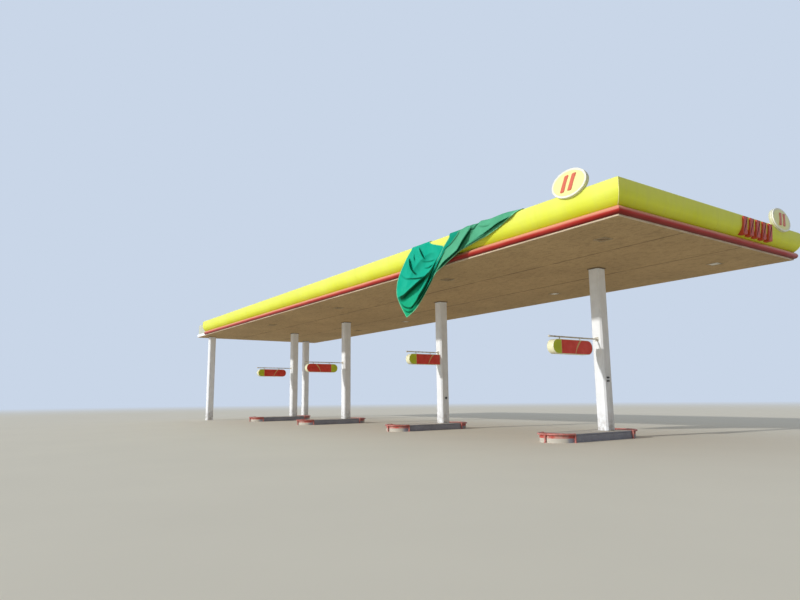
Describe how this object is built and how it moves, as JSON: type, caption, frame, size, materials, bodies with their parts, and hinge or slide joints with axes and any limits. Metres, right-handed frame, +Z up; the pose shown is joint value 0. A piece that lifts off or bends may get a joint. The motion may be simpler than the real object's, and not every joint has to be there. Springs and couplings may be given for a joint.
{
  "type": "filling station canopy",
  "caption": "Open filling station canopy: flat deck on a row of columns, rounded yellow fascia with a red nose, kerbed islands, hanging signs and a draped green cloth.",
  "frame": {"origin": "on the ground, in the middle of the whole canopy in plan", "axes": "+Z up, +X along the deck towards the near end with the raised bars, -Y towards the front with the cloth"},
  "size_m": [34.8408, 9.7208, 7.2279],
  "materials": {
    "deck_concrete": "rough cast concrete",
    "soffit_plaster": "stippled cement plaster",
    "upstand_render": "painted cement render",
    "yellow_cladding": "semi-gloss coated sheet",
    "red_nose": "gloss coated sheet",
    "pale_trim": "painted flat bar",
    "column_paint": "white masonry paint",
    "island_kerb": "painted concrete kerb",
    "guard_pipe": "worn red paint on steel pipe",
    "sign_box": "printed acrylic box",
    "sign_steel": "painted steel tube",
    "light_fitting": "white coated steel",
    "oval_sign": "acrylic light box",
    "red_bars": "formed acrylic",
    "green_cloth": "thin woven cloth"
  },
  "bodies": {
    "root": {"deck_slab": "deck_concrete", "plaster_front": "soffit_plaster", "plaster_middle": "soffit_plaster", "plaster_rear": "soffit_plaster", "upstand_front": "upstand_render", "upstand_rear": "upstand_render", "upstand_near_end": "upstand_render", "upstand_far_end": "upstand_render", "spine_beam": "deck_concrete", "roof_ribs": "deck_concrete", "fascia_front": "yellow_cladding", "fascia_near_end": "yellow_cladding", "fascia_rear": "yellow_cladding", "fascia_end_caps": "yellow_cladding", "nose_front": "red_nose", "nose_near_end": "red_nose", "nose_rear": "red_nose", "edge_trim": "pale_trim", "soffit_lights": "light_fitting", "oval_sign_front": "oval_sign", "oval_sign_near_end": "oval_sign", "raised_bars": "red_bars", "draped_cloth": "green_cloth", "column_far_front": "column_paint", "column_far_rear": "column_paint", "column_1": "column_paint", "island_1": "island_kerb", "guard_1": "guard_pipe", "column_sign_1": "sign_box", "sign_bracket_1": "sign_steel", "column_2": "column_paint", "island_2": "island_kerb", "guard_2": "guard_pipe", "column_sign_2": "sign_box", "sign_bracket_2": "sign_steel", "column_3": "column_paint", "island_3": "island_kerb", "guard_3": "guard_pipe", "column_sign_3": "sign_box", "sign_bracket_3": "sign_steel", "column_4": "column_paint", "island_4": "island_kerb", "guard_4": "guard_pipe", "column_sign_4": "sign_box", "sign_bracket_4": "sign_steel"}
  },
  "joints": []
}
